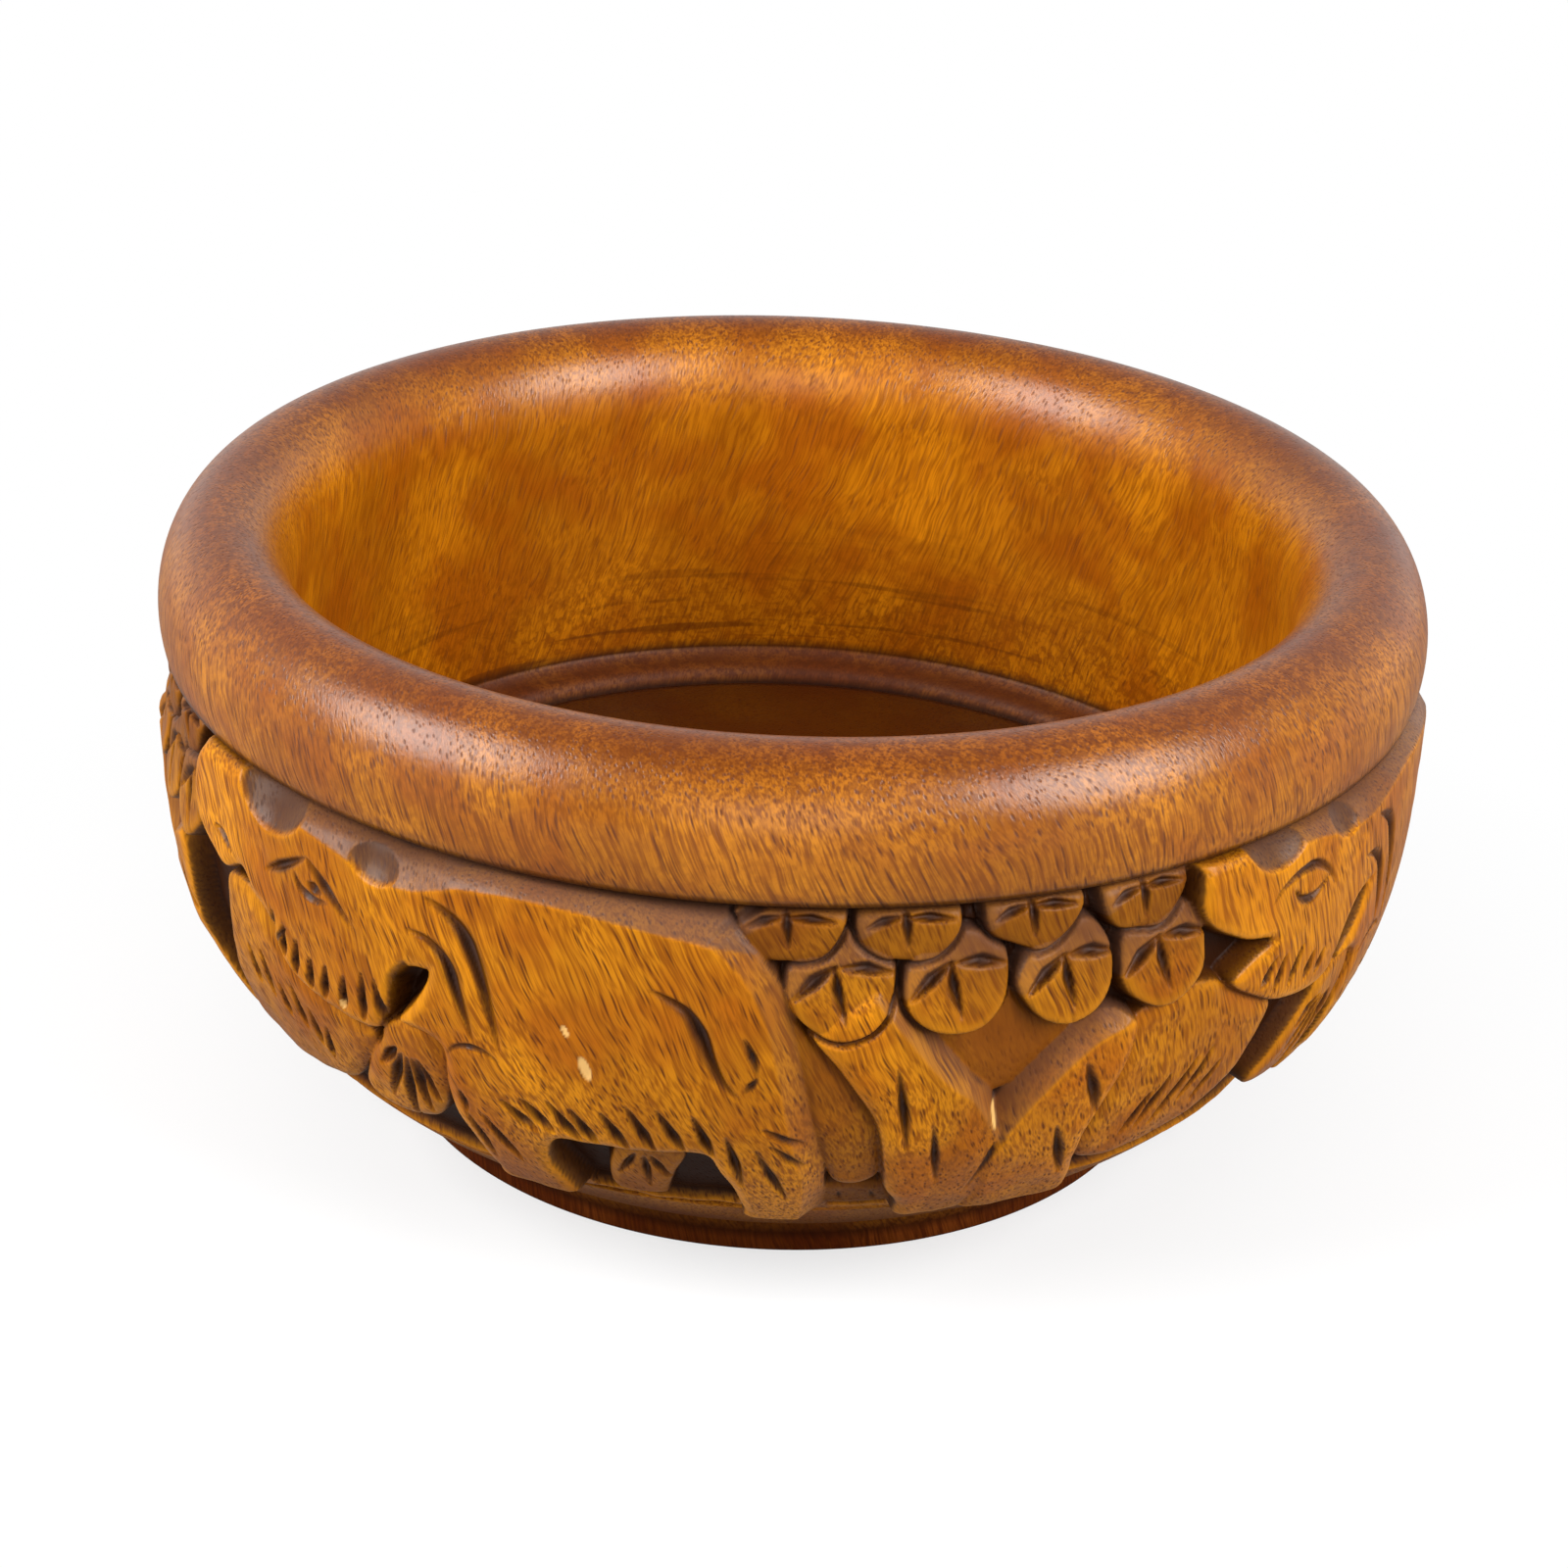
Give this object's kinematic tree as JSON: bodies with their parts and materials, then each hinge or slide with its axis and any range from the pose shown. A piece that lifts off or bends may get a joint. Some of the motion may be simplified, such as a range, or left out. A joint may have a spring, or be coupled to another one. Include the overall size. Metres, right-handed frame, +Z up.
{
  "type": "salad bowl",
  "caption": "Thick turned wooden salad bowl with a fat rolled rim, a let-in floor disc, and a frieze of standing animals and trees carved round the outside above a small foot.",
  "frame": {"origin": "centre of the foot's underside, where the bowl stands", "axes": "+Z up along the turning axis; -Y is the side that the picture shows; +X to its right"},
  "size_m": [0.2626, 0.2626, 0.129],
  "materials": {
    "bowl_wood": "satin, oiled and polished, dark stain in the carving",
    "floor_wood": "satin, stained dark"
  },
  "bodies": {
    "root": {"bowl_body": "bowl_wood", "floor_disc": "floor_wood"}
  },
  "joints": []
}
